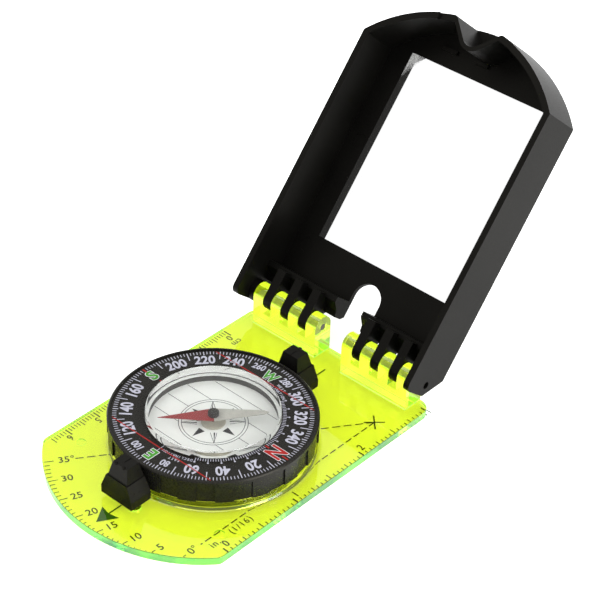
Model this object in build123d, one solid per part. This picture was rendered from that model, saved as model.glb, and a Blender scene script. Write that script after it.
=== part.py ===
from build123d import *
import os
from math import radians, sin, sqrt, tan

# Mirror sighting compass, in millimetres.
# +X is the side with the inch scale, +Y runs from the curved nose to the hinge, +Z is up.
# The origin is where the dial axis meets the underside of the baseplate.
# Every piece is modelled where it sits with the cover open at rest_opening.

# ---------------------------------------------------------------- driving dimensions
# baseplate
plate_width = 64.0
plate_thickness = 2.4
nose_y = -45.4               # foremost point of the curved nose
nose_radius = 41.5
rear_y = 51.2
rear_corner_radius = 4.0
nose_corner_radius = 2.5
plate_edge_round = 0.3
boss_inset = 0.5             # raised round platform, smaller than the dial above it
boss_height = 2.8
boss_foot_radius = 1.2
pad_height = 1.2             # raised pads under the two sights
dimple_radius = 1.3
dimple_depth = 0.3
dimple_inset = 7.0           # from the long edge
dimple_y = -23.5

# dial ring
dial_radius = 27.5
dial_thickness = 6.1         # from the underside to the printed face
dial_lip_height = 0.4
dial_lip_width = 0.8
grip_count = 18
grip_depth = 0.4
grip_margin = 0.7            # plain band left under the lip
dial_lip_chamfer = 0.3
sleeve_wall = 2.2
sleeve_bottom = 1.1
drag_ring_section = 0.65     # radius of the rubber ring's own section
retainer_reach = 1.2         # how far the retainer reaches past the plate's bore
retainer_bottom = 0.3

# capsule
capsule_radius = 17.6
capsule_proud = 2.1          # how far it stands above the dial's face
capsule_wall = 1.0
capsule_joint_drop = 0.5     # top of the cup below the dial's face
capsule_floor_rise = 2.7     # from the flange's underside to the card
capsule_floor = 1.4
capsule_edge_round = 0.5
gasket_thickness = 0.3
flange_reach = 1.0           # past the capsule's wall
flange_thickness = 1.0
plug_radius = 1.2
plug_offset = 12.0
card_thickness = 0.3
pivot_base_radius = 3.15
pivot_base_height = 0.6
pivot_radius = 0.45
pivot_tip_radius = 0.05
pivot_cone = 1.0             # length of the pointed end

# needle
needle_end_gap = 2.3         # from the tip to the capsule's wall
needle_half_width = 2.5
needle_thickness = 0.3
pale_tip_half_width = 0.75
pale_tip_length = 1.2
needle_drop = 5.0            # underside of the blades below the capsule's top
needle_heading = 228.7       # direction of the red tip, degrees from +X
hub_radius = 1.45
hub_height = 2.2             # above the blades
hub_round = 0.35
jewel_radius = 0.8
jewel_height = 1.0
jewel_inset = 0.3            # jewel's underside above the magnet's
jewel_pit_radius = 0.7
jewel_pit_tip = 0.08
magnet_length = 9.0
magnet_width = 3.4
magnet_thickness = 0.5

# sights
sight_width = 10.8
sight_length = 6.8
sight_height = 10.8
sight_top_width = 5.1
sight_top_length = 4.0
sight_waist = 0.22           # share of the height where the block starts to narrow
sight_step = 0.61            # share of the height where the upper part begins
sight_step_narrowing = 0.58  # share of the narrowing done by then
sight_top_setback = 1.26     # from the block's inner face to the top's
sight_ledge = 0.35
sight_near_slope = 0.4
sight_far_slope = 0.2
sight_groove_width = 0.24
sight_groove_depth = 0.2
sight_groove_share = 0.6     # share of the top that the groove crosses
sight_dimple_radius = 0.6
sight_dimple_x = 1.4
sight_bead_radius = 0.65
sight_bead_inset = 0.2
pad_inset = 1.4              # pads stop short of the blocks' edges

# hinge
pin_setback = 3.4            # from the rear edge
pin_radius = 1.0
knuckle_radius = 3.2
knuckle_width = 3.5
knuckles_per_side = 4
ear_room = 2.05              # from the last knuckle to the cover's side wall
hinge_gap = 9.5              # clear width between the two groups of knuckles
slot_depth = 0.6             # slot floor below the knuckles
pin_recess = 0.9             # pin's outer end inside the cover's side

# cover, in its own frame: s runs from the pin towards the far end, n towards the mirror side
cover_inset = 0.4            # cover's sides inside the baseplate's
cover_wall = 1.8
cover_end = 91.9             # s of the outermost point of the curved end
cover_end_radius = 42.0
cover_rim = 8.5              # n of the open rim
cover_rim_gap = 0.3          # between the rim and the baseplate when shut
cover_back = -7.4            # n of the outer face
cover_panel = 1.5            # thickness of the flat panel
cover_heel = 3.1             # how far the side walls reach past the pin
cover_heel_round = 2.2
cover_heel_back = -0.7       # n where the heel's back chamfer begins
panel_start = 4.6            # s where the flat panel begins
chamfer_end = 2.6            # s where the heel's back chamfer meets the outer face
rib_start = 7.6
rib_thickness = 1.6
rib_top = 0.5                # n of the rib's edge
web_gap = 0.5                # between the knuckles and the web behind them
web_ledge = 1.8              # depth of the web's flatter step, along s
web_ledge_top = -2.2         # n of that step where it meets the steep part
web_ledge_fall = 0.5
slot_radius = 4.6
slot_centre = 11.7
notch_half_width = 11.2      # half width of the V carried on past the curved end
notch_depth = 7.0
notch_round = 3.2
notch_wall = 1.2
notch_wall_drop = 1.0        # lip round the notch, below the open rim
notch_lip_half = 12.2        # half width of that lowered lip
notch_mouth_round = 1.3      # outer corners of the notch
mirror_side_margin = 8.6     # cover border beside the mirror
mirror_slot_margin = 5.0     # cover border between the mirror and the sighting slot
mirror_end_margin = 13.6     # cover border beyond the mirror
mirror_thickness = 0.8
mirror_recess = 0.9
adhesive_thickness = 0.2
adhesive_margin = 3.0
ejector_radius = 2.0
ejector_depth = 0.15
ejector_inset = 6.1          # of the marks along the sides
ejector_marks_low = 17.5     # s of the marks at the hinge end
ejector_marks_middle = 50.0
catch_starts = (-14.7, -4.1)  # x of the two short catches on the panel
catch_length = 5.0
catch_width = 1.0
catch_height = 0.9
catch_from_end = 9.3
rest_opening = 130.0         # degrees between closed and the modelled pose

# clearances
run_gap = 0.1                # radial gap of turning fits
face_gap = 0.2               # gap between faces that slide past each other
pin_gap = 0.04               # radial gap round the hinge pins
side_gap = 0.15              # gap beside each cover finger
seat_gap = 0.1               # gap round pieces that are glued in

# fasteners
screw_radius = 0.8
screw_head_radius = 1.6
screw_head_height = 0.8
screw_length = 6.0
screw_spread = 3.0           # x of each screw, left and right
drive_length = 2.0           # cross slot in each head
drive_width = 0.4
drive_depth = 0.4

# ---------------------------------------------------------------- worked-out places
half_plate = plate_width / 2
nose_centre_y = nose_y + nose_radius
nose_shoulder_y = nose_centre_y - sqrt(nose_radius**2 - half_plate**2)
dimple_x = half_plate - dimple_inset
boss_radius = dial_radius - boss_inset
boss_top = plate_thickness + boss_height
pad_top = plate_thickness + pad_height
sleeve_inner = capsule_radius + run_gap
sleeve_outer = sleeve_inner + sleeve_wall
plate_bore = sleeve_outer + run_gap
dial_bottom = boss_top + face_gap
dial_face = dial_bottom + dial_thickness
dial_lip_top = dial_face + dial_lip_height
retainer_radius = plate_bore + retainer_reach
drag_ring_radius = (sleeve_outer + boss_radius) / 2
drag_ring_centre = boss_top + run_gap / 2 + drag_ring_section
drag_ring_top = drag_ring_centre + drag_ring_section
counterbore_depth = sleeve_bottom + face_gap
capsule_bottom = sleeve_bottom + face_gap
capsule_inner = capsule_radius - capsule_wall
capsule_top = dial_face + capsule_proud
capsule_joint = dial_face - capsule_joint_drop
capsule_floor_top = capsule_bottom + capsule_floor_rise
flange_radius = capsule_radius + flange_reach
lens_bottom = capsule_joint + gasket_thickness
card_top = capsule_floor_top + card_thickness
pivot_base_top = card_top + pivot_base_height
needle_half_length = capsule_inner - needle_end_gap
needle_height = capsule_top - needle_drop
blade_top = needle_height + needle_thickness
magnet_bottom = needle_height - magnet_thickness
jewel_bottom = magnet_bottom + jewel_inset
sight_near = dial_radius + 0.5
sight_far = sight_near + sight_length
screw_y = sight_near + sight_length / 2
half_cover = plate_width / 2 - cover_inset
pin_y = rear_y - pin_setback
pin_z = plate_thickness + cover_rim_gap + cover_rim
slot_floor = pin_z - knuckle_radius - slot_depth
group_inner = hinge_gap / 2
group_outer = half_cover - cover_wall - ear_room
knuckle_pitch = (group_outer - group_inner - knuckle_width) / (knuckles_per_side - 1)
finger_width = knuckle_pitch - knuckle_width - 2 * side_gap
finger_offsets = [
    group_inner + knuckle_width + (knuckle_pitch - knuckle_width) / 2 + i * knuckle_pitch
    for i in range(knuckles_per_side - 1)
]
panel_inner = cover_back + cover_panel
notch_bottom = cover_end - notch_depth
mirror_width = 2 * (half_cover - mirror_side_margin)
mirror_start = slot_centre + slot_radius + mirror_slot_margin
mirror_end = cover_end - mirror_end_margin
ejector_x = half_cover - ejector_inset
ejector_marks = [
    (side * ejector_x, s) for side in (-1, 1) for s in (ejector_marks_low, ejector_marks_middle)
]
recess_floor = panel_inner - mirror_recess
adhesive_top = recess_floor + adhesive_thickness


# ---------------------------------------------------------------- small helpers
def block(x0, x1, y0, y1, z0, z1):
    """Box between two corners."""
    size = (x1 - x0, y1 - y0, z1 - z0)
    return Pos((x0 + x1) / 2, (y0 + y1) / 2, (z0 + z1) / 2) * Box(*size)


def disc(radius, z0, z1, x=0.0, y=0.0):
    """Upright cylinder between two heights."""
    return Pos(x, y, (z0 + z1) / 2) * Cylinder(radius, z1 - z0)


def tube(outer, inner, z0, z1):
    """Upright ring between two heights."""
    return disc(outer, z0, z1) - disc(inner, z0 - 1, z1 + 1)


def rod(radius, x0, x1, y=0.0, z=0.0):
    """Cylinder along X."""
    return Pos((x0 + x1) / 2, y, z) * Rot(0, 90, 0) * Cylinder(radius, x1 - x0)


def turned(points):
    """Solid of revolution about Z from (radius, height) points."""
    profile = make_face(Polyline(*[(r, 0, z) for r, z in points], close=True))
    return revolve(profile, Axis.Z)


def slab(face, z0, z1):
    """Flat face in XY raised to lie between two heights."""
    return Pos(0, 0, z0) * extrude(face, z1 - z0)


def side_profile(points, x0, x1):
    """Prism along X from (y, z) points."""
    face = make_face(Polyline(*[(x0, y, z) for y, z in points], close=True))
    return extrude(face, x1 - x0, dir=(1, 0, 0))


def taper(half_w0, y0, y1, z0, half_w1, y2, y3, z1):
    """Block that narrows from one rectangle to another above it."""
    low = Pos(0, (y0 + y1) / 2, z0) * Rectangle(2 * half_w0, y1 - y0)
    high = Pos(0, (y2 + y3) / 2, z1) * Rectangle(2 * half_w1, y3 - y2)
    return loft([low.face(), high.face()])


def curved_outline(half, start, shoulder, tip):
    """Rectangle with one end bowed out to tip."""
    sides = Polyline((-half, shoulder), (-half, start), (half, start), (half, shoulder))
    bow = ThreePointArc((half, shoulder), (0, tip), (-half, shoulder))
    return make_face(sides + bow)


def place_cover(shape):
    """Moves a cover piece from the cover's own frame to its open pose."""
    return Pos(0, pin_y, pin_z) * Rot(180 - rest_opening, 0, 0) * shape


def point_needle(shape):
    """Turns a needle piece modelled along +X to its heading."""
    return Rot(0, 0, needle_heading) * shape


# ---------------------------------------------------------------- baseplate
def plate_body():
    face = curved_outline(half_plate, rear_y, nose_shoulder_y, nose_y)
    rear_corners = face.vertices().filter_by(lambda v: v.Y > 0)
    face = fillet(rear_corners, rear_corner_radius)
    nose_corners = face.vertices().filter_by(lambda v: v.Y < 0)
    face = fillet(nose_corners, nose_corner_radius)
    body = slab(face, 0, plate_thickness)
    rims = body.edges().group_by(Axis.Z)
    return fillet(rims[0] + rims[-1], plate_edge_round)


def dial_platform():
    """Raised platform with a coved foot, and the two pads under the sights."""
    foot = boss_foot_radius
    cove = foot * (1 - sin(radians(45)))
    low, high = plate_thickness, boss_top
    edges = [
        Line((plate_bore, 0, low - 1), (boss_radius + foot, 0, low - 1)),
        Line((boss_radius + foot, 0, low - 1), (boss_radius + foot, 0, low)),
        ThreePointArc(
            (boss_radius + foot, 0, low),
            (boss_radius + cove, 0, low + cove),
            (boss_radius, 0, low + foot),
        ),
        Line((boss_radius, 0, low + foot), (boss_radius, 0, high)),
        Line((boss_radius, 0, high), (plate_bore, 0, high)),
        Line((plate_bore, 0, high), (plate_bore, 0, low - 1)),
    ]
    platform = revolve(make_face(edges), Axis.Z)
    half_pad = sight_width / 2 - pad_inset
    for side in (-1, 1):
        near, far = sorted((side * (boss_radius - 1), side * (sight_far - pad_inset)))
        platform += block(-half_pad, half_pad, near, far, plate_thickness - 1, pad_top)
    return platform


def knuckle_group(side):
    """Hinge block and knuckles on one side; side is -1 for left, 1 for right."""
    x0, x1 = sorted((side * group_inner, side * group_outer))
    front, back = pin_y - knuckle_radius, pin_y + knuckle_radius
    group = block(x0, x1, front, back, plate_thickness - 1, slot_floor)
    for i in range(knuckles_per_side):
        start = x0 + i * knuckle_pitch
        stop = start + knuckle_width
        group += block(start, stop, front, back, slot_floor - 1, pin_z)
        group += rod(knuckle_radius, start, stop, pin_y, pin_z)
    return group - rod(pin_radius + pin_gap, x0 - 1, x1 + 1, pin_y, pin_z)


def baseplate():
    body = plate_body() + dial_platform()
    body -= disc(plate_bore, -1, boss_top + 1)
    body -= disc(retainer_radius + face_gap, -1, counterbore_depth)
    for side in (-1, 1):
        body += knuckle_group(side)
        body -= disc(dimple_radius, -1, dimple_depth, side * dimple_x, dimple_y)
        for x in (-screw_spread, screw_spread):
            y = side * screw_y
            body -= disc(screw_radius + run_gap, -1, pad_top + 1, x, y)
            body -= disc(screw_head_radius + run_gap, -1, screw_head_height + face_gap, x, y)
    return body


# ---------------------------------------------------------------- sights
def sight_body():
    """Stepped sight block, modelled on the hinge side of the dial."""
    half, half_top = sight_width / 2, sight_top_width / 2
    top = pad_top + sight_height
    waist = pad_top + sight_waist * sight_height
    step = pad_top + sight_step * sight_height
    half_step = half - sight_step_narrowing * (half - half_top)
    step_near = sight_near + sight_near_slope
    step_far = sight_far - sight_far_slope
    top_near = sight_near + sight_top_setback
    top_far = top_near + sight_top_length
    body = block(-half, half, sight_near, sight_far, pad_top, waist)
    body += taper(half, sight_near, sight_far, waist, half_step, step_near, step_far, step)
    body += taper(
        half_step - sight_ledge, step_near, step_far - sight_ledge, step,
        half_top, top_near, top_far, top,
    )
    for x in (-screw_spread, screw_spread):
        body -= disc(screw_radius, pad_top - 1, screw_head_height + screw_length, x, screw_y)
    half_groove = sight_groove_width / 2
    groove_end = top_near + sight_groove_share * sight_top_length
    body -= block(-half_groove, half_groove, top_near - 1, groove_end, top - sight_groove_depth, top + 1)
    return body, top_far, top


def front_sight():
    """Nose-side sight with a pair of round notches in its outer edge."""
    body, edge_y, edge_z = sight_body()
    for x in (-sight_dimple_x, sight_dimple_x):
        body -= Pos(x, edge_y, edge_z) * Sphere(sight_dimple_radius)
    return mirror(body, Plane.XZ)


def rear_sight():
    """Hinge-side sight with a bead on its outer edge."""
    body, edge_y, edge_z = sight_body()
    place = Pos(0, edge_y - sight_bead_inset, edge_z - sight_bead_inset)
    return body + place * Sphere(sight_bead_radius)


def sight_screws(side):
    """Both screws of one sight; side is -1 for the front sight, 1 for the rear."""
    long, short = drive_length / 2, drive_width / 2
    screws = []
    for x in (-screw_spread, screw_spread):
        y = side * screw_y
        head = disc(screw_head_radius, face_gap, face_gap + screw_head_height, x, y)
        shank = disc(screw_radius, face_gap, screw_head_height + screw_length, x, y)
        drive = block(x - long, x + long, y - short, y + short, 0, face_gap + drive_depth)
        drive += block(x - short, x + short, y - long, y + long, 0, face_gap + drive_depth)
        screws.append(head + shank - drive)
    return Compound(children=screws)


# ---------------------------------------------------------------- dial
def grip_face():
    """Outline of the grip: equal lands and gaps round the rim."""
    pitch = 360 / grip_count
    core = Circle(dial_radius - grip_depth)
    half_land = radians(pitch / 4)
    reach = dial_radius + 1
    wedge = make_face(Polyline(
        (0, 0),
        (reach, -reach * tan(half_land)),
        (reach, reach * tan(half_land)),
        close=True,
    ))
    land = wedge & Circle(dial_radius)
    for i in range(grip_count):
        core += Rot(0, 0, i * pitch) * land
    return core


def dial_ring():
    grip_top = dial_face - grip_margin
    body = slab(grip_face(), dial_bottom, grip_top)
    body += turned([
        (0, grip_top),
        (dial_radius, grip_top),
        (dial_radius, dial_lip_top - dial_lip_chamfer),
        (dial_radius - dial_lip_chamfer, dial_lip_top),
        (dial_radius - dial_lip_width, dial_lip_top),
        (dial_radius - dial_lip_width, dial_face),
        (0, dial_face),
    ])
    body += disc(sleeve_outer, sleeve_bottom, dial_bottom + 1)
    body -= disc(sleeve_inner, sleeve_bottom - 1, dial_lip_top + 1)
    flange_room = capsule_bottom + flange_thickness + face_gap
    body -= disc(flange_radius + run_gap, sleeve_bottom - 1, flange_room)
    half_groove = drag_ring_section + run_gap
    groove_outer, groove_inner = drag_ring_radius + half_groove, drag_ring_radius - half_groove
    body -= tube(groove_outer, groove_inner, dial_bottom - 1, drag_ring_top + run_gap)
    return body


def drag_ring():
    """Rubber ring under the dial that gives its turning a little drag."""
    return Pos(0, 0, drag_ring_centre) * Torus(drag_ring_radius, drag_ring_section)


def dial_retainer():
    """Ring under the plate that keeps the dial down and carries the capsule."""
    return tube(retainer_radius, capsule_inner, retainer_bottom, sleeve_bottom)


# ---------------------------------------------------------------- capsule
def capsule_cup():
    flange_top = capsule_bottom + flange_thickness
    floor_bottom = capsule_floor_top - capsule_floor
    body = turned([
        (0, floor_bottom),
        (capsule_inner - 1, floor_bottom),
        (capsule_inner - 1, capsule_bottom),
        (flange_radius, capsule_bottom),
        (flange_radius, flange_top),
        (capsule_radius, flange_top),
        (capsule_radius, capsule_joint),
        (capsule_inner, capsule_joint),
        (capsule_inner, capsule_floor_top),
        (0, capsule_floor_top),
    ])
    return body - disc(plug_radius, floor_bottom - 1, capsule_floor_top + 1, plug_offset)


def capsule_gasket():
    return tube(capsule_radius, capsule_inner, capsule_joint, lens_bottom)


def capsule_lens():
    body = disc(capsule_radius, lens_bottom, capsule_top)
    body = fillet(body.edges().group_by(Axis.Z)[-1], capsule_edge_round)
    return body - disc(capsule_inner, lens_bottom - 1, capsule_top - capsule_wall)


def capsule_plug():
    return disc(plug_radius, capsule_floor_top - capsule_floor, capsule_floor_top, plug_offset)


def orienting_card():
    return disc(capsule_inner - seat_gap, capsule_floor_top, card_top)


def pivot_base():
    return disc(pivot_base_radius, card_top, pivot_base_top)


def pivot_pin():
    """Pointed post whose tip stands level with the top of the blades."""
    cone_start = blade_top - pivot_cone
    stem = disc(pivot_radius, pivot_base_top, cone_start)
    place = Pos(0, 0, cone_start + pivot_cone / 2)
    return stem + place * Cone(pivot_radius, pivot_tip_radius, pivot_cone)


# ---------------------------------------------------------------- needle
def needle_blade(sign):
    """One half of the needle; sign is 1 for the red half and -1 for the blunter pale half."""
    corners = [(0, -needle_half_width), (sign * needle_half_length, 0), (0, needle_half_width)]
    if sign < 0:
        shoulder = needle_half_length - pale_tip_length
        corners.insert(1, (-shoulder, -pale_tip_half_width))
        corners.insert(3, (-shoulder, pale_tip_half_width))
    face = make_face(Polyline(*corners, close=True))
    blade = slab(face, needle_height, blade_top)
    return point_needle(blade - disc(hub_radius, needle_height - 1, blade_top + 1))


def needle_magnet():
    half = magnet_length / 2
    bar = block(
        -half, half, -magnet_width / 2, magnet_width / 2,
        magnet_bottom, needle_height,
    )
    return point_needle(bar - disc(hub_radius, magnet_bottom - 1, blade_top))


def needle_hub():
    cap = disc(hub_radius, magnet_bottom, blade_top + hub_height)
    cap = fillet(cap.edges().group_by(Axis.Z)[-1], hub_round)
    return cap - disc(jewel_radius, magnet_bottom - 1, jewel_bottom + jewel_height)


def needle_jewel():
    """Bearing cup; its pit ends just above the tip of the pivot."""
    body = disc(jewel_radius, jewel_bottom, jewel_bottom + jewel_height)
    pit_depth = blade_top + pin_gap - jewel_bottom
    pit = Pos(0, 0, jewel_bottom + pit_depth / 2) * Cone(jewel_pit_radius, jewel_pit_tip, pit_depth)
    return body - pit


# ---------------------------------------------------------------- cover, in its own frame
def cover_outline(inset, start):
    """Cover outline in the (x, s) plane, drawn inwards by inset."""
    half = half_cover - inset
    radius = cover_end_radius - inset
    centre_s = cover_end - cover_end_radius
    shoulder = centre_s + sqrt(radius**2 - half**2)
    return curved_outline(half, start, shoulder, cover_end - inset)


def sight_notch(grow):
    """Rounded V in the curved end, widened all round by grow."""
    radius = notch_round + grow
    centre_s = notch_bottom + notch_round
    mouth = cover_end + 3
    half_mouth = notch_half_width + grow
    bottom = Pos(0, centre_s) * Circle(radius)
    top = Line((-half_mouth, mouth), (half_mouth, mouth))
    return make_hull(bottom.edges() + top.edges())


def finger_profile():
    """Side view of one cover finger as (s, n) points, without its round end."""
    r = knuckle_radius
    root = rib_start + rib_thickness / 2
    return [(0, r), (root, r), (root, panel_inner), (panel_start, panel_inner), (r, -r), (0, -r)]


def web_profile():
    """Side view of the web that fills the corner between the rib and the knuckles."""
    front = knuckle_radius + web_gap
    ledge_end = front + web_ledge
    return [
        (rib_start + rib_thickness / 2, rib_top),
        (rib_start, rib_top),
        (ledge_end, web_ledge_top),
        (front, web_ledge_top - web_ledge_fall),
        (front, panel_inner),
        (panel_start, cover_back),
        (rib_start + rib_thickness / 2, cover_back),
    ]


def cover_side_cut():
    """Material removed behind the pin so that the heel clears the baseplate."""
    outside, below = -cover_heel - 1, cover_back - 1
    points = [
        (outside, cover_heel_back),
        (-cover_heel, cover_heel_back),
        (chamfer_end, cover_back),
        (chamfer_end, below),
        (outside, below),
    ]
    return side_profile(points, -half_cover - 1, half_cover + 1)


def cover_shell():
    body = slab(cover_outline(0, -cover_heel), cover_back, cover_rim)
    heel_edges = body.edges().filter_by(Axis.X).filter_by(
        lambda e: e.center().Y < 0 and e.center().Z > 0
    )
    body = fillet(heel_edges, cover_heel_round)
    cavity = slab(cover_outline(cover_wall, -cover_heel - 5), panel_inner, cover_rim + 1)
    body -= cavity
    body -= block(
        -half_cover + cover_wall, half_cover - cover_wall,
        -cover_heel - 1, panel_start, cover_back - 1, cover_rim + 1,
    )
    body -= cover_side_cut()
    # bay behind the sighting notch, then the notch itself
    inner_face = cover_outline(cover_wall / 2, 0)
    body += slab(sight_notch(notch_wall) & inner_face, panel_inner, cover_rim - notch_wall_drop)
    body -= slab(sight_notch(0), panel_inner, cover_rim + 1)
    lip = cover_rim - notch_wall_drop
    body -= block(-notch_lip_half, notch_lip_half, notch_bottom - notch_wall - 1, cover_end + 1, lip, cover_rim + 1)
    mouth_corners = body.edges().filter_by(Axis.Z).filter_by(
        lambda e: e.center().Y > cover_end - notch_depth / 2 and abs(e.center().X) < notch_lip_half - 1
    )
    mouth_corners = mouth_corners.sort_by(Axis.Y)[-2:]
    body = fillet(mouth_corners, notch_mouth_round)
    # rib across the hinge end, ears round the pins and the six fingers
    body += block(
        -half_cover + cover_wall, half_cover - cover_wall,
        rib_start, rib_start + rib_thickness, panel_inner, rib_top,
    )
    body += side_profile(web_profile(), -half_cover + cover_wall, half_cover - cover_wall)
    for side in (-1, 1):
        ear_ends = (side * (group_outer + 2 * side_gap), side * (half_cover - cover_wall / 2))
        body += rod(knuckle_radius, min(ear_ends), max(ear_ends))
        for offset in finger_offsets:
            x0 = side * offset - finger_width / 2
            body += side_profile(finger_profile(), x0, x0 + finger_width)
            body += rod(knuckle_radius, x0, x0 + finger_width)
    bore = pin_radius + pin_gap
    body -= rod(bore, -half_cover - 1, half_cover + 1)
    # sighting slot at the hinge end, mirror recess and ejector marks
    slot = disc(slot_radius, cover_back - 1, rib_top + 1, 0, slot_centre)
    slot += block(-slot_radius, slot_radius, 0, slot_centre, cover_back - 1, knuckle_radius + 1)
    body -= slot
    body -= block(
        -mirror_width / 2 - seat_gap, mirror_width / 2 + seat_gap,
        mirror_start - seat_gap, mirror_end + seat_gap, recess_floor, panel_inner + 1,
    )
    for x, s in ejector_marks:
        body -= disc(ejector_radius, panel_inner - ejector_depth, panel_inner + 1, x, s)
    # two short catches on the panel near the curved end
    catch_s = cover_end - catch_from_end
    catch_top = panel_inner + catch_height
    for x in catch_starts:
        body += block(x, x + catch_length, catch_s, catch_s + catch_width, panel_inner - 0.2, catch_top)
    return body


def cover_mirror():
    return block(
        -mirror_width / 2, mirror_width / 2, mirror_start, mirror_end,
        adhesive_top, adhesive_top + mirror_thickness,
    )


def mirror_adhesive():
    return block(
        -mirror_width / 2 + adhesive_margin, mirror_width / 2 - adhesive_margin,
        mirror_start + adhesive_margin, mirror_end - adhesive_margin,
        recess_floor, adhesive_top,
    )


def hinge_pin(side):
    """Pin through one group of knuckles, fast in the cover."""
    ends = (side * (group_inner + run_gap), side * (half_cover - pin_recess))
    return rod(pin_radius, min(ends), max(ends))


# ---------------------------------------------------------------- every piece
pieces = {
    "baseplate": baseplate(),
    "front_sight": front_sight(),
    "rear_sight": rear_sight(),
    "front_sight_screws": sight_screws(-1),
    "rear_sight_screws": sight_screws(1),
    "dial_ring": dial_ring(),
    "dial_drag_ring": drag_ring(),
    "dial_retainer": dial_retainer(),
    "capsule_cup": capsule_cup(),
    "capsule_gasket": capsule_gasket(),
    "capsule_lens": capsule_lens(),
    "capsule_plug": capsule_plug(),
    "orienting_card": orienting_card(),
    "pivot_base": pivot_base(),
    "pivot_pin": pivot_pin(),
    "needle_north": needle_blade(1),
    "needle_south": needle_blade(-1),
    "needle_magnet": needle_magnet(),
    "needle_hub": needle_hub(),
    "needle_jewel": needle_jewel(),
    "cover_shell": place_cover(cover_shell()),
    "cover_mirror": place_cover(cover_mirror()),
    "mirror_adhesive": place_cover(mirror_adhesive()),
    "hinge_pin_left": place_cover(hinge_pin(-1)),
    "hinge_pin_right": place_cover(hinge_pin(1)),
}

os.makedirs("parts", exist_ok=True)
for name, shape in pieces.items():
    export_step(shape, f"parts/{name}.step")
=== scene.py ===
from math import atan2, cos, hypot, radians, sin, sqrt

import bpy
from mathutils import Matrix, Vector


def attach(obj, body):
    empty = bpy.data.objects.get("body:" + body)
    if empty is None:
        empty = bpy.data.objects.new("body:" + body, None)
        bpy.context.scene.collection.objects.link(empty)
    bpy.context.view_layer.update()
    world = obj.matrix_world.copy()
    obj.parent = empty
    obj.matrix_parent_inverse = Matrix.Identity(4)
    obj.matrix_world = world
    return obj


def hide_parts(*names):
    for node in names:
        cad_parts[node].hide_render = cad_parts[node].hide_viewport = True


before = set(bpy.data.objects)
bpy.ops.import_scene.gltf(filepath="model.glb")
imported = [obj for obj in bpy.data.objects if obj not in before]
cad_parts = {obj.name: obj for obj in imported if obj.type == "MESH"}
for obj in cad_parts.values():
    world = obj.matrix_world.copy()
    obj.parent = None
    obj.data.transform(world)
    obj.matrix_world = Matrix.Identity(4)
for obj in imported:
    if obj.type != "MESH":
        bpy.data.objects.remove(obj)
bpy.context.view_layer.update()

MM = 0.001

# ------------------------------------------------------------ shader maths


class Sock:
    """A shader socket that adds Math nodes when it is used in an expression."""

    def __init__(self, shader, socket):
        self.shader, self.socket = shader, socket

    def _math(self, operation, *values, clamp=False):
        node = self.shader.node("ShaderNodeMath", {"operation": operation, "use_clamp": clamp},
                                {i: v for i, v in enumerate(values)})
        return node[0]

    def __add__(self, other):
        return self._math("ADD", self, other)

    def __sub__(self, other):
        return self._math("SUBTRACT", self, other)

    def __mul__(self, other):
        return self._math("MULTIPLY", self, other)

    def __rsub__(self, other):
        return self._math("SUBTRACT", other, self)

    __radd__, __rmul__ = __add__, __mul__

    def abs(self):
        return self._math("ABSOLUTE", self)

    def between(self, low, high):
        """0 below low, 1 above high and a straight ramp from one to the other."""
        return self._math("MULTIPLY", self - low, 1 / (high - low), clamp=True)


class Shader:
    """A material under construction."""

    def __init__(self, name):
        self.material = bpy.data.materials.new(name)
        self.material.use_nodes = True
        self.tree = self.material.node_tree
        self.tree.nodes.clear()
        self.output = self.tree.nodes.new("ShaderNodeOutputMaterial")

    def node(self, kind, settings=None, inputs=None):
        """Adds a node and returns its outputs as expressions."""
        made = self.tree.nodes.new(kind)
        for key, value in (settings or {}).items():
            setattr(made, key, value)
        for key, value in (inputs or {}).items():
            if isinstance(value, Sock):
                self.tree.links.new(value.socket, made.inputs[key])
            else:
                made.inputs[key].default_value = value
        return [Sock(self, out) for out in made.outputs]

    def place(self):
        """Object coordinates."""
        return self.node("ShaderNodeTexCoord")[3]

    def facing(self):
        """Surface normal in object space, split into X, Y and Z."""
        normal = self.node("ShaderNodeTexCoord")[1]
        return self.node("ShaderNodeSeparateXYZ", inputs={0: normal})

    def noise(self, scale, detail=2.0, rough=0.5, where=None):
        out = self.node("ShaderNodeTexNoise", inputs={
            "Vector": where or self.place(), "Scale": scale, "Detail": detail, "Roughness": rough,
        })
        return out[0]

    def blend(self, factor, first, second):
        """Colour between first and second."""
        made = self.tree.nodes.new("ShaderNodeMix")
        made.data_type = "RGBA"
        for index, value in ((0, factor), (6, first), (7, second)):
            if isinstance(value, Sock):
                self.tree.links.new(value.socket, made.inputs[index])
            else:
                made.inputs[index].default_value = value
        return Sock(self, made.outputs[2])

    def bump(self, height, strength, distance):
        return self.node("ShaderNodeBump", inputs={
            "Height": height, "Strength": strength, "Distance": distance,
        })[0]

    def surface(self, **inputs):
        """Ends the material in a Principled shader."""
        named = {key.replace("_", " "): value for key, value in inputs.items()}
        out = self.node("ShaderNodeBsdfPrincipled", inputs=named)[0]
        self.tree.links.new(out.socket, self.output.inputs[0])
        return self.material


def grey(value):
    return (value, value, value, 1.0)


# ------------------------------------------------------------ finishes


WARMTH = (1.0, 0.96, 0.84)  # red, green and blue of the blacks, against their base tone
RUBBED = 1.35               # how much lighter the rubbed patches are


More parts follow.
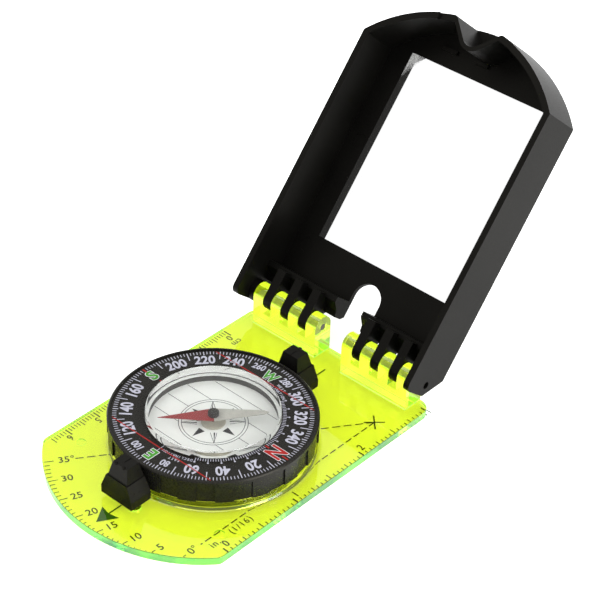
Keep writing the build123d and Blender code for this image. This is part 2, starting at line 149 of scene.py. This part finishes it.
def moulded_black(name, base, rough_low, rough_high, grain, sheen=0.12):
    """Black plastic with spark-eroded grain, rubbed a little shinier in patches."""
    s = Shader(name)
    fine = s.noise(grain, 3.0, 0.6)
    broad = s.noise(90.0, 2.0)
    tone = broad.between(0.35, 0.7)
    warm = tuple(base * part for part in WARMTH)
    rubbed = tuple(part * RUBBED for part in warm)
    colour = s.blend(tone, warm + (1,), rubbed + (1,))
    rough = fine * (rough_high - rough_low) + rough_low
    return s.surface(
        Base_Color=colour, Roughness=rough, Normal=s.bump(fine, 0.25, 0.00006),
        Specular_IOR_Level=sheen, Specular_Tint=(1.0, 0.95, 0.82, 1),
    )


ABOVE_PLATE = (0.0025, 0.0030)         # heights just over the plate's upper face
HINGE_START = (0.038, 0.041)           # Y over which the painted light on the hinge blocks comes in
OUTSIDE_PLATFORM = (0.00088, 0.00094)  # squares of 29.7 and 30.7 mm from the dial's centre


def fluorescent_clear():
    """Clear yellow-green plastic with painted glow: its emission stands partly for the plastic's
    own fluorescence and partly for painted light, greener where light leaves at its edges and
    brighter on the hinge blocks.
    """
    s = Shader("fluorescent_plate_painted_glow")
    side = s.facing()[2].abs()
    x, y, height = s.node("ShaderNodeSeparateXYZ", inputs={0: s.place()})[:3]
    # mask of the painted light on the hinge blocks, above the plate and past the hinge line
    hinge_light_mask = height.between(*ABOVE_PLATE) * y.between(*HINGE_START)
    outside = (x * x + y * y).between(*OUTSIDE_PLATFORM)
    # mask of the painted edge glow: side faces of the plate, below its upper face and off the
    # dial's platform
    edge = (1.0 - side.between(0.25, 0.8)) * (1.0 - height.between(*ABOVE_PLATE)) * outside
    along = s.noise(75.0, 2.0).between(0.42, 0.60)
    # deep and bright green of the painted edge glow, varied along the edge
    deep_green, bright_green = (0.10, 1.3, 0.45, 1), (0.62, 3.2, 0.42, 1)
    painted_edge_glow = s.blend(along, deep_green, bright_green)
    # faint cloud of lighter and darker painted glow over the faces
    cloud = s.noise(38.0, 2.0).between(0.3, 0.75)
    dim_face, bright_face = (0.085, 0.105, 0.001, 1), (0.100, 0.120, 0.001, 1)
    # painted light on the hinge blocks, brightening them in the cover's shade
    painted_hinge_light = (0.42, 0.58, 0.010, 1)
    painted_face_glow = s.blend(hinge_light_mask, s.blend(cloud, dim_face, bright_face), painted_hinge_light)
    # painted glow: edge glow over the faces' glow and the painted light on the hinge blocks
    painted_glow = s.blend(edge, painted_face_glow, painted_edge_glow)
    swirl = s.noise(260.0, 2.0)
    return s.surface(
        Base_Color=(0.68, 0.76, 0.062, 1), Roughness=0.02, IOR=1.49, Transmission_Weight=1.0,
        Emission_Color=painted_glow, Emission_Strength=0.25, Normal=s.bump(swirl, 0.04, 0.00004),
    )


def clear_plastic():
    """Clear plastic of the capsule, with a faint film in patches."""
    s = Shader("capsule_clear")
    film = s.noise(120.0, 1.0).between(0.45, 0.8)
    return s.surface(
        Base_Color=(0.99, 0.995, 0.99, 1), Roughness=film * 0.015, IOR=1.46,
        Transmission_Weight=1.0, Specular_IOR_Level=0.3,
    )


INK_UNEVENNESS = 0.12  # how much darker the dark patches of an ink are


def ink(name, colour, rough=0.5):
    """Printed ink, a little uneven in tone."""
    s = Shader(name)
    blotch = s.noise(900.0, 2.0).between(0.35, 0.7)
    darker = tuple(c * (1 - INK_UNEVENNESS) for c in colour[:3]) + (1.0,)
    return s.surface(Base_Color=s.blend(blotch, darker, colour), Roughness=rough,
                     Specular_IOR_Level=0.12)


def lacquer(name, colour, darker):
    """Thin paint with darker blotches and a fine grain."""
    s = Shader(name)
    blotch = s.noise(700.0, 3.0, 0.6).between(0.35, 0.7)
    grain = s.noise(2600.0, 2.0)
    return s.surface(
        Base_Color=s.blend(blotch, darker, colour), Roughness=0.38,
        Normal=s.bump(grain, 0.15, 0.00002),
    )


def card_stock():
    """White film of the orienting card, faintly speckled."""
    s = Shader("card_film")
    speck = s.noise(1800.0, 2.0).between(0.3, 0.8)
    colour = s.blend(speck, (0.91, 0.935, 0.89, 1), (0.94, 0.96, 0.92, 1))
    return s.surface(Base_Color=colour, Roughness=0.55)


def plated_steel(name, colour):
    """Drawn metal, streaked along X."""
    s = Shader(name)
    stretched = s.node("ShaderNodeMapping", inputs={
        "Vector": s.place(), "Scale": (0.1, 1.0, 1.0),
    })[0]
    streak = s.noise(1500.0, 2.0, where=stretched)
    return s.surface(
        Base_Color=colour, Metallic=1.0, Roughness=streak * 0.2 + 0.18,
        Normal=s.bump(streak, 0.1, 0.00002),
    )


CORNER_CLOUD_EDGE = (0.0722, 0.0750)  # where the grey cloud begins, across the mirror's upper left corner


def silvered_mirror():
    """Mirror with a faint grey, rougher and less metallic cloud near one corner."""
    s = Shader("silvered_mirror")
    x, _, z = s.node("ShaderNodeSeparateXYZ", inputs={0: s.place()})[:3]
    corner = (z * 0.8 - x).between(*CORNER_CLOUD_EDGE)
    corner_cloud = s.noise(2400.0, 3.0, 0.7).between(0.25, 0.65) * corner
    return s.surface(
        Base_Color=s.blend(corner_cloud, (0.985, 0.985, 0.985, 1), (0.62, 0.62, 0.60, 1)),
        Metallic=1.0 - corner_cloud * 0.95, Roughness=corner_cloud * 0.35 + 0.02,
    )


def rubber_black():
    s = Shader("black_rubber")
    pit = s.noise(1400.0, 2.0)
    return s.surface(Base_Color=grey(0.02), Roughness=pit * 0.2 + 0.6,
                     Normal=s.bump(pit, 0.2, 0.00003))


finishes = {
    "plate": fluorescent_clear(),
    "cover": moulded_black("cover_black", 0.0026, 0.28, 0.48, 2600.0, 0.062),
    "ring": moulded_black("dial_black", 0.006, 0.20, 0.36, 2200.0, 0.16),
    "sight": moulded_black("sight_black", 0.0032, 0.22, 0.38, 1800.0, 0.09),
    "clear": clear_plastic(),
    "card": card_stock(),
    "steel": plated_steel("plated_steel", (0.60, 0.59, 0.56, 1)),
    "pin": plated_steel("blackened_pin", (0.10, 0.095, 0.08, 1)),
    "mirror": silvered_mirror(),
    "rubber": rubber_black(),
    "hub": moulded_black("hub_grey", 0.022, 0.3, 0.45, 1500.0),
    "disc": lacquer("pivot_beige", (0.56, 0.53, 0.43, 1), (0.48, 0.46, 0.37, 1)),
    "red": lacquer("needle_red", (0.33, 0.008, 0.006, 1), (0.27, 0.006, 0.005, 1)),
    "pale": lacquer("needle_pale", (0.48, 0.475, 0.42, 1), (0.40, 0.395, 0.35, 1)),
    "magnet": moulded_black("magnet_steel", 0.08, 0.4, 0.6, 1200.0),
    "tape": ink("adhesive_tape", (0.7, 0.7, 0.66, 1), 0.7),
    "jewel": lacquer("bearing_jewel", (0.6, 0.2, 0.25, 1), (0.5, 0.15, 0.2, 1)),
    "ink_black": ink("ink_black", (0.02, 0.022, 0.02, 1)),
    "ink_olive": ink("ink_olive", (0.010, 0.022, 0.003, 1)),
    "ink_forest": ink("ink_forest", (0.008, 0.10, 0.03, 1)),
    "ink_pale": ink("ink_pale", (0.34, 0.34, 0.40, 1)),
    "ink_white": ink("ink_white", (0.52, 0.52, 0.54, 1)),
    "ink_red": ink("ink_red", (0.27, 0.012, 0.010, 1)),
    "ink_green": ink("ink_green", (0.045, 0.20, 0.022, 1)),
    # dark grey of the band round the card, a painted reflection of the black housing
    "band": moulded_black("painted_reflection_grey", 0.05, 0.4, 0.6, 1500.0),
}

node_finish = {
    "baseplate": "plate", "front_sight": "sight", "rear_sight": "sight",
    "front_sight_screws": "steel", "rear_sight_screws": "steel",
    "dial_ring": "ring", "dial_drag_ring": "rubber", "dial_retainer": "ring",
    "capsule_cup": "clear", "capsule_gasket": "clear", "capsule_lens": "clear",
    "capsule_plug": "rubber", "orienting_card": "card", "pivot_base": "disc",
    "pivot_pin": "steel", "needle_north": "red", "needle_south": "pale",
    "needle_magnet": "magnet", "needle_hub": "hub", "needle_jewel": "jewel",
    "cover_shell": "cover", "cover_mirror": "mirror", "mirror_adhesive": "tape",
    "hinge_pin_left": "pin", "hinge_pin_right": "pin",
}
for name, finish in node_finish.items():
    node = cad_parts[name]
    node.data.materials.clear()
    node.data.materials.append(finishes[finish])

# ------------------------------------------------------------ modelling helpers
INK = 0.02              # thickness of a printed mark
CAPITAL_SHARE = 0.72    # height of a capital against the font's size
HOOP_SIDES = 128


def deselect():
    if bpy.context.object and bpy.context.object.mode != "OBJECT":
        bpy.ops.object.mode_set(mode="OBJECT")
    bpy.ops.object.select_all(action="DESELECT")


def only(obj):
    deselect()
    obj.select_set(True)
    bpy.context.view_layer.objects.active = obj


def settle(obj):
    """Puts the object's place into its mesh."""
    only(obj)
    bpy.ops.object.transform_apply(location=True, rotation=True, scale=True)


def keep(obj, name, body, finish, smooth=None):
    """Names a finished piece, gives it its finish and lets it ride on its body."""
    obj.name = name
    obj.data.name = name
    obj.data.materials.clear()
    obj.data.materials.append(finishes[finish])
    if smooth:
        only(obj)
        bpy.ops.object.shade_smooth_by_angle(angle=radians(smooth))
    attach(obj, body)
    return obj


def join(objects):
    deselect()
    for o in objects:
        o.select_set(True)
    bpy.context.view_layer.objects.active = objects[0]
    bpy.ops.object.join()
    joined = bpy.context.view_layer.objects.active
    settle(joined)
    return joined


def edit(obj):
    only(obj)
    bpy.ops.object.mode_set(mode="EDIT")
    bpy.ops.mesh.select_mode(type="VERT")
    bpy.ops.mesh.select_all(action="SELECT")


def choose(obj, kind, test):
    """Selects the faces, edges or corners whose middle, in millimetres, passes the test."""
    bpy.ops.mesh.select_mode(type=kind)
    bpy.ops.mesh.select_all(action="DESELECT")
    bpy.ops.object.mode_set(mode="OBJECT")
    corners = obj.data.vertices
    if kind == "VERT":
        for corner in corners:
            corner.select = test(corner.co / MM)
    else:
        for part in (obj.data.polygons if kind == "FACE" else obj.data.edges):
            ends = [corners[i].co for i in part.vertices]
            part.select = test(sum(ends, Vector()) / len(ends) / MM)
    bpy.ops.object.mode_set(mode="EDIT")


def raise_up(height):
    """Extrudes what is selected straight up."""
    bpy.ops.mesh.extrude_region_move(TRANSFORM_OT_translate={"value": (0, 0, height * MM)})


def step_in(ratio, z):
    """Extrudes what is selected in place and draws it towards, or away from, the centre line."""
    bpy.ops.mesh.extrude_region_move()
    bpy.ops.transform.resize(value=(ratio, ratio, 1), center_override=(0, 0, z * MM))


def finish_edit():
    bpy.ops.mesh.select_all(action="SELECT")
    bpy.ops.mesh.normals_make_consistent(inside=False)
    bpy.ops.object.mode_set(mode="OBJECT")


def inked(obj):
    """Raises a flat outline to the thickness of ink."""
    edit(obj)
    raise_up(INK)
    finish_edit()
    return obj


deselect()
bpy.ops.mesh.primitive_plane_add(size=MM)
tick_pattern = inked(bpy.context.object)
deselect()
bpy.ops.mesh.primitive_circle_add(vertices=16, radius=MM, fill_type="NGON")
dot_pattern = inked(bpy.context.object)


def another(pattern, x, y, z, turn, scale):
    """Copy of a pattern with its own mesh, put in its place."""
    obj = pattern.copy()
    obj.data = pattern.data.copy()
    bpy.context.scene.collection.objects.link(obj)
    obj.location = (x * MM, y * MM, z * MM)
    obj.rotation_euler = (0, 0, turn)
    obj.scale = scale
    return obj


def line(x0, y0, x1, y1, width, z):
    """Straight printed mark from one point to another."""
    length = hypot(x1 - x0, y1 - y0)
    turn = atan2(y1 - y0, x1 - x0)
    return another(tick_pattern, (x0 + x1) / 2, (y0 + y1) / 2, z, turn, (length, width, 1))


def spoke(angle, r0, r1, width, z):
    """Printed mark along a radius, between two distances from the centre."""
    a = radians(angle)
    return line(r0 * cos(a), r0 * sin(a), r1 * cos(a), r1 * sin(a), width, z)


def dot(x, y, r, z):
    return another(dot_pattern, x, y, z, 0, (r, r, 1))


def dashes(x0, y0, x1, y1, width, dash, gap, z):
    length = hypot(x1 - x0, y1 - y0)
    ux, uy = (x1 - x0) / length, (y1 - y0) / length
    marks, at = [], 0.0
    while at < length:
        end = min(at + dash, length)
        marks.append(line(x0 + ux * at, y0 + uy * at, x0 + ux * end, y0 + uy * end, width, z))
        at += dash + gap
    return marks


def patch(points, z):
    """Flat shape of a few corners: a small disc whose corners are dragged to their places."""
    deselect()
    bpy.ops.mesh.primitive_circle_add(vertices=len(points), radius=MM, fill_type="NGON")
    obj = bpy.context.object
    edit(obj)
    for index, (x, y) in enumerate(points):
        start = obj.data.vertices[index].co / MM
        choose(obj, "VERT", lambda p: (p - start).length < 0.001)
        bpy.ops.transform.translate(value=((x - start.x) * MM, (y - start.y) * MM, z * MM))
    bpy.ops.object.mode_set(mode="OBJECT")
    return inked(obj)


def hoop(r0, r1, z0, z1):
    """Upright ring: a circle widened outwards and raised."""
    deselect()
    bpy.ops.mesh.primitive_circle_add(
        vertices=HOOP_SIDES, radius=r0 * MM, fill_type="NOTHING", location=(0, 0, z0 * MM))
    obj = bpy.context.object
    settle(obj)
    edit(obj)
    step_in(r1 / r0, z0)
    bpy.ops.mesh.select_all(action="SELECT")
    raise_up(z1 - z0)
    finish_edit()
    return obj


def lettering(text, size, bold, condense, x, y, turn, z, raise_by=0.0, spacing=1.0):
    """Printed text centred on a point; size is the height of its capitals in millimetres."""
    deselect()
    bpy.ops.object.text_add()
    obj = bpy.context.object
    obj.data.body = text
    obj.data.size = size / CAPITAL_SHARE * MM
    obj.data.align_x = "CENTER"
    obj.data.align_y = "CENTER"
    obj.data.offset = bold * MM
    obj.data.extrude = INK / 2 * MM
    obj.data.resolution_u = 3
    obj.data.space_character = spacing
    only(obj)
    bpy.ops.object.convert(target="MESH")
    obj = bpy.context.object
    obj.scale = (condense, 1, 1)
    obj.rotation_euler = (0, 0, radians(turn))
    obj.location = (x * MM, y * MM, (z + INK / 2 + raise_by) * MM)
    settle(obj)
    return obj


# ------------------------------------------------------------ prints on the baseplate
UNDER = 0.04       # height of the ink, just inside the clear underside
HALF_PLATE = 32.0
EDGE_MARGIN = 0.35
NOSE_TIP = -45.4
NOSE_RADIUS = 41.5
SCALE_TEXT = 2.3   # capitals of the plate's scales
UNIT_TEXT = 2.1    # capitals of their units


def inch_scale():
    """Inches in sixteenths along the right edge, counted away from the nose."""
    zero, inch = -26.62, 25.4
    mark_count = 50
    half_inch, quarter_inch, shortest = 29.2, 29.75, 30.1  # inner ends of the marks
    thick, thin = 0.42, 0.26
    marks = []
    for i in range(mark_count):
        part = i % 16
        if part % 8 == 0:
            inner = half_inch
        elif part % 4 == 0:
            inner = quarter_inch
        else:
            inner = shortest
        y = zero + inch * i / 16
        width = thick if part == 0 else thin
        marks.append(line(inner, y, HALF_PLATE - EDGE_MARGIN, y, width, UNDER))
    for n in range(3):
        y = zero + inch * n + 1.8
        marks.append(lettering(str(n), SCALE_TEXT, 0.04, 0.9, 28.5, y, 90, UNDER))
    marks.append(lettering("in.", UNIT_TEXT, 0.01, 0.95, 26.6, -26.8, 90, UNDER, spacing=1.15))
    marks.append(lettering("(1/16)", 2.0, 0.01, 0.95, 26.4, -17.4, 90, UNDER, spacing=1.2))
    return join(marks)


def centimetre_scale():
    """Centimetres in millimetres along the left edge, counted towards the nose."""
    zero = 37.03
    mark_count = 66
    centimetre, half_centimetre, millimetre = -29.0, -29.4, -30.1  # inner ends of the marks
    thick, thin = 0.36, 0.22
    marks = []
    for i in range(mark_count):
        y = zero - i
        if i % 10 == 0:
            inner = centimetre
        elif i % 5 == 0:
            inner = half_centimetre
        else:
            inner = millimetre
        width = thick if i % 10 == 0 else thin
        marks.append(line(inner, y, -HALF_PLATE + EDGE_MARGIN, y, width, UNDER))
    for n in range(7):
        y = zero - 10 * n - 1.25
        marks.append(lettering(str(n), SCALE_TEXT, 0.02, 0.9, -28.5, y, -90, UNDER))
    marks.append(lettering("cm", UNIT_TEXT, 0.01, 0.95, -25.7, 36.0, -90, UNDER))
    return join(marks)


def protractor():
    """Angle scale round the nose, centred on a cross near the hinge."""
    cx, cy = 24.29, 36.27
    arm, arm_width = 2.0, 0.38
    last_degree = 35
    long_mark, short_mark = 2.4, 1.35
    marks = [line(cx - arm, cy - arm, cx + arm, cy + arm, arm_width, UNDER),
             line(cx - arm, cy + arm, cx + arm, cy - arm, arm_width, UNDER)]
    nose = NOSE_TIP + NOSE_RADIUS
    for step in range(last_degree + 1):
        a = radians(-90 - step)
        ux, uy = cos(a), sin(a)
        # distance from the cross to the curved edge of the nose
        b = cx * ux + (cy - nose) * uy
        c = cx * cx + (cy - nose) ** 2 - NOSE_RADIUS ** 2
        outer = -b + sqrt(b * b - c) - 0.55
        inner = outer - (long_mark if step % 5 == 0 else short_mark)
        marks.append(line(cx + ux * outer, cy + uy * outer, cx + ux * inner, cy + uy * inner,
                          0.24, UNDER))
        if step % 5 == 0:
            label = str(step) + ("°" if step in (0, last_degree) else "")
            r = inner - 0.75 - 0.85 * len(label)
            marks.append(lettering(label, SCALE_TEXT, 0.02, 1.0, cx + ux * r, cy + uy * r,
                                   90 - step, UNDER))
    for step, far in ((0, 65.7), (last_degree, 79.6)):
        a = radians(-90 - step)
        marks += dashes(cx, cy, cx + cos(a) * far, cy + sin(a) * far, 0.33, 2.2, 0.9, UNDER)
    return join(marks)


def direction_arrow():
    """Arrow on the centre line, from the nose to behind the rear sight."""
    head = patch([(0, -41.8), (3.0, -36.8), (0, -37.45), (-3.0, -36.8)], UNDER)
    return join([head, line(0, -37.5, 0, -33.1, 0.45, UNDER), line(0, 34.8, 0, 44.0, 0.45, UNDER)])


for maker, name, finish in (
    (inch_scale, "inch_scale", "ink_olive"),
    (centimetre_scale, "centimetre_scale", "ink_olive"),
    (protractor, "protractor_scale", "ink_olive"),
    (direction_arrow, "direction_arrow", "ink_forest"),
):
    keep(maker(), name, "base", finish)

# ------------------------------------------------------------ prints on the dial
FACE = 11.5        # height of the printed face
RING_OUT = 26.05   # outer end of the graduations
RING_LONG = 22.92  # inner ends of the long, middle and short ones
RING_MIDDLE = 24.6
RING_SHORT = 24.95
INSIDE_MARK = (17.9, 20.9)  # ends of the marks inside east and west


def dial_ticks():
    """Graduations every two degrees but for the main points, and a mark inside east and west."""
    marks = []
    for b in range(0, 360, 2):
        if b % 90 == 0:
            continue
        if b % 20 == 10:
            inner = RING_LONG
        elif b % 10 == 0:
            inner = RING_MIDDLE
        else:
            inner = RING_SHORT
        marks.append(spoke(-b, inner, RING_OUT, 0.26 if b % 10 == 0 else 0.2, FACE))
    for b in (90, 270):
        marks.append(spoke(-b, *INSIDE_MARK, 0.18, FACE))
    return join(marks)


def dial_numerals():
    """Every twenty degrees, smaller beside the letters at east and west."""
    marks = []
    crowded = {80: 2.2, 100: -2.2, 260: 2.2, 280: -2.2}  # moved clear of the letters
    for b in range(20, 360, 20):
        if b == 180:
            continue
        small = b in crowded
        size, bold, r = (2.2, 0.07, 22.9) if small else (3.3, 0.13, 22.35)
        a = -b + crowded.get(b, 0.0)
        marks.append(lettering(str(b), size, bold, 0.82, r * cos(radians(a)), r * sin(radians(a)),
                               a - 90, FACE))
    return join(marks)


def dial_letter(letter, bearing, size, bold, condense, r, lift):
    """One of the four main points, with its foot towards the centre."""
    a = -bearing
    return lettering(letter, size, bold, condense, r * cos(radians(a)), r * sin(radians(a)), a - 90,
                     FACE, raise_by=lift)


def dial_red_lines():
    """Two lines parallel to north and south, and the marks at north and south."""
    offset = 19.2
    half = sqrt(RING_OUT ** 2 - offset ** 2)
    marks = [line(-half, side * offset, half, side * offset, 0.32, FACE) for side in (-1, 1)]
    for b in (0, 180):
        marks.append(spoke(-b, 24.0, RING_OUT, 0.4, FACE))
        marks.append(spoke(-b, 18.2, 19.6, 0.4, FACE))
    return join(marks)


def declination_scale():
    """Sixty degrees each way beside the capsule, with a dot at every tenth."""
    reach, near, long_end, short_end, dots = 60, 18.0, 19.3, 18.9, 19.6
    marks = []
    for d in range(-reach, reach + 2, 2):
        if d == 0:
            continue
        ten = d % 10 == 0
        marks.append(spoke(d, near, long_end if ten else short_end, 0.19, FACE))
        if ten:
            a = radians(d)
            marks.append(dot(dots * cos(a), dots * sin(a), 0.26, FACE))
    return join(marks)


def declination_words():
    """Words in two rows, set letter by letter round the capsule."""
    middle, step = 74.5, 2.35
    marks = []
    for side, word in ((1, "WEST"), (-1, "EAST")):
        for text, r in ((word, 20.6), ("DECLINATION", 19.2)):
            for i, letter in enumerate(text):
                a = side * middle + (len(text) / 2 - i - 0.5) * step
                marks.append(lettering(letter, 0.9, 0.02, 0.8, r * cos(radians(a)),
                                       r * sin(radians(a)), a - 90, FACE))
    return join(marks)


keep(dial_ticks(), "dial_graduations", "dial", "ink_pale")
keep(dial_numerals(), "dial_numerals", "dial", "ink_pale")
keep(dial_red_lines(), "dial_red_lines", "dial", "ink_red")
keep(declination_scale(), "declination_scale", "dial", "ink_pale")
keep(declination_words(), "declination_words", "dial", "ink_pale")
OUTLINE_BOLD, OUTLINE_LIFT = 0.34, -0.01  # white letter behind, a little fatter and lower
LETTER_BOLD, LETTER_LIFT = 0.16, 0.006
for letter, bearing, size, condense, r, finish, slot in (
    ("N", 0, 5.1, 0.80, 21.7, "ink_red", "needle_red"),
    ("E", 90, 3.7, 0.95, 22.3, "ink_green", "plate_acrylic"),
    ("S", 180, 3.7, 1.0, 22.3, "ink_green", "plate_acrylic"),
    ("W", 270, 3.4, 0.80, 21.4, "ink_green", "plate_acrylic"),
):
    outline = dial_letter(letter, bearing, size, OUTLINE_BOLD, condense, r, OUTLINE_LIFT)
    keep(outline, f"dial_outline_{letter}", "dial", "ink_white")
    coloured = dial_letter(letter, bearing, size, LETTER_BOLD, condense, r, LETTER_LIFT)
    keep(coloured, f"dial_letter_{letter}", "dial", finish)

# ------------------------------------------------------------ capsule
CARD = 4.3                            # height of the card's printed face
# inner and outer radius, bottom and top
HOUSING_REFLECTION_BAND = (16.55, 16.80, 4.32, 7.6)      # dark band round the card: painted reflection of the black housing seen through the capsule wall
SKIRT = (16.85, 17.45, 4.0, 7.9)      # pale skirt between the band and the wall
SKIRT_CAP = (16.55, 16.85, 7.62, 7.9)


def card_print():
    """Orienting lines, double circle and compass rose."""
    spacing, lines_reach, clear_of_rose, thin = 6.0, 16.2, 8.7, 0.15
    marks = []
    for i in range(-2, 3):
        y = i * spacing
        half = sqrt(lines_reach ** 2 - y * y)
        gap = sqrt(max(clear_of_rose ** 2 - y * y, 0))
        if gap:
            marks += [line(-half, y, -gap, y, thin, CARD), line(gap, y, half, y, thin, CARD)]
        else:
            marks.append(line(-half, y, half, y, thin, CARD))
    main_tip, side_tip, foot, wide = 7.6, 8.2, 4.15, 1.0
    for i in range(4):
        a = radians(90 * i)
        ux, uy = cos(a), sin(a)
        marks.append(patch([(ux * main_tip, uy * main_tip),
                            (ux * foot - uy * wide, uy * foot + ux * wide),
                            (ux * foot + uy * wide, uy * foot - ux * wide)], CARD))
        b = a + radians(45)
        vx, vy = cos(b), sin(b)
        for side in (-1, 1):
            marks.append(line(vx * side_tip, vy * side_tip, vx * foot - side * vy * 0.85,
                              vy * foot + side * vx * 0.85, 0.13, CARD))
        marks.append(patch([(vx * side_tip, vy * side_tip), (vx * foot, vy * foot),
                            (vx * foot - vy * 0.4, vy * foot + vx * 0.4)], CARD))
    for r in (8.1, 8.85):
        marks.append(hoop(r - 0.08, r + 0.08, CARD, CARD + INK))
    return join(marks)


def capsule_body():
    """Clear capsule with its liquid, read as one clear body round the card and the needle."""
    flange, wall, hollow = 18.6, 17.6, 15.6
    low, ledge, floor, top = 1.3, 2.3, 2.6, 13.6
    edge_round = 0.5
    deselect()
    bpy.ops.mesh.primitive_cylinder_add(
        vertices=160, radius=flange * MM, depth=(ledge - low) * MM,
        location=(0, 0, (ledge + low) / 2 * MM))
    obj = bpy.context.object
    settle(obj)
    edit(obj)
    choose(obj, "FACE", lambda p: p.z > ledge - 0.01)
    step_in(wall / flange, ledge)
    raise_up(top - ledge)
    choose(obj, "FACE", lambda p: p.z < low + 0.01)
    step_in(hollow / flange, low)
    raise_up(floor - low)
    choose(obj, "EDGE", lambda p: p.z > top - 0.01)
    bpy.ops.mesh.bevel(offset=edge_round * MM, segments=5, affect="EDGES")
    finish_edit()
    return obj


clear = keep(capsule_body(), "capsule_clear_body", "capsule", "clear", 35)
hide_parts("capsule_cup", "capsule_lens", "capsule_gasket")
keep(card_print(), "card_print", "capsule", "ink_black")
# dark band round the card: painted reflection of the black housing seen refracted through the
# capsule wall
keep(hoop(*HOUSING_REFLECTION_BAND), "painted_housing_reflection_band", "capsule", "band", 35)
skirt = join([hoop(*SKIRT), hoop(*SKIRT_CAP)])
keep(skirt, "card_skirt", "capsule", "card", 35)

for pattern in (tick_pattern, dot_pattern):
    bpy.data.objects.remove(pattern)

# ------------------------------------------------------------ floor, light and camera


FLOOR_HEIGHT = -0.00012  # just under the object
CAMERA_PLACE = (0.2874, -0.3005, 0.3535)
CAMERA_TURN = (53.718, -1.413, 42.775)


def stage():
    """Pale floor, white surroundings, two softboxes and the camera."""
    deselect()
    bpy.ops.mesh.primitive_plane_add(size=8, location=(0, 0, FLOOR_HEIGHT))
    floor = bpy.context.object
    floor.name = "floor"
    s = Shader("pale_floor")
    floor.data.materials.append(s.surface(
        Base_Color=grey(0.92), Roughness=0.9, Emission_Color=grey(1.0), Emission_Strength=0.50))

    world = bpy.data.worlds.new("studio")
    bpy.context.scene.world = world
    world.use_nodes = True
    back = world.node_tree.nodes["Background"]
    back.inputs[0].default_value = (1.0, 1.0, 1.0, 1)
    back.inputs[1].default_value = 1.02

    def lamp(name, place, target, size, power):
        data = bpy.data.lights.new(name, "AREA")
        data.shape = "RECTANGLE"
        data.size, data.size_y = size
        data.energy = power
        obj = bpy.data.objects.new(name, data)
        bpy.context.scene.collection.objects.link(obj)
        obj.location = place
        aim = Vector(target) - Vector(place)
        obj.rotation_euler = aim.to_track_quat("-Z", "Y").to_euler()

    lamp("softbox_right", (0.75, 0.10, 0.35), (0, 0, 0.01), (0.5, 0.7), 9)
    lamp("softbox_top", (-0.2, -0.1, 1.0), (0, 0, 0), (0.8, 0.8), 6)

    cam = bpy.data.cameras.new("camera")
    obj = bpy.data.objects.new("camera", cam)
    bpy.context.scene.collection.objects.link(obj)
    obj.location = CAMERA_PLACE
    obj.rotation_euler = [radians(turn) for turn in CAMERA_TURN]
    cam.sensor_width = 36
    cam.lens = 125.12
    cam.shift_x = 0.0452
    cam.shift_y = -0.0012
    cam.clip_start, cam.clip_end = 0.01, 20
    bpy.context.scene.camera = obj
    bpy.context.scene.view_settings.view_transform = "Standard"


stage()
